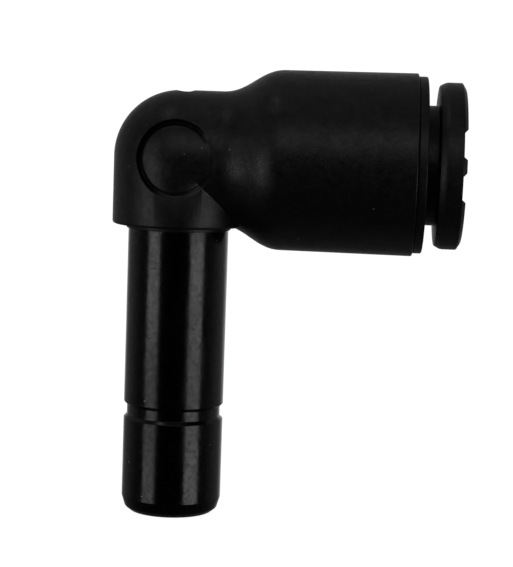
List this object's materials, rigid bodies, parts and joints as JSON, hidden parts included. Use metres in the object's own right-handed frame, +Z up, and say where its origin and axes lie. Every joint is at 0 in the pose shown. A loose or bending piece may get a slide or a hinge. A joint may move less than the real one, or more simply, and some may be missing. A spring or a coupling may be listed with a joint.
{
  "type": "push to connect fitting",
  "caption": "Push-to-connect stem elbow: a right-angle plastic body with a tube port, a collet and release flange, and a swivelling plug-in stem.",
  "frame": {"origin": "centre of the plug-in stem's lower end", "axes": "+Z up along the stem and the swivel axis; +X along the tube port's axis, out of its mouth; +Y to the back"},
  "size_m": [0.0277, 0.0144, 0.0358],
  "materials": {
    "matt_nylon": "moulded glass-filled nylon, matt, faintly mottled",
    "gloss_nylon": "polished moulding, glossy black",
    "acetal": "moulded acetal, semi-matt black",
    "seal_rubber": "nitrile rubber, matt black",
    "spring_steel": "stainless spring steel, bright"
  },
  "bodies": {
    "plug_stem": {"stem": "gloss_nylon", "stem_o_ring": "seal_rubber", "stem_snap_ring": "spring_steel"},
    "elbow": {"elbow_body": "matt_nylon", "stem_bush": "acetal", "tube_seal": "seal_rubber", "seal_spacer": "acetal", "mouth_ring": "acetal"},
    "release_button": {"release_collet": "acetal", "grip_tooth_1": "spring_steel", "grip_tooth_2": "spring_steel", "grip_tooth_3": "spring_steel", "grip_tooth_4": "spring_steel", "grip_tooth_5": "spring_steel", "grip_tooth_6": "spring_steel", "grip_tooth_7": "spring_steel", "grip_tooth_8": "spring_steel"}
  },
  "joints": [
    {"name": "elbow_swivel", "type": "hinge", "parent": "plug_stem", "child": "elbow", "pos_m": [0, 0, 0.0246], "axis": [0, 0, 1], "continuous": true},
    {"name": "release_press", "type": "slide", "parent": "elbow", "child": "release_button", "axis": [1, 0, 0], "range_m": [-0.00092, 0], "stiffness_N_per_m": 300}
  ]
}
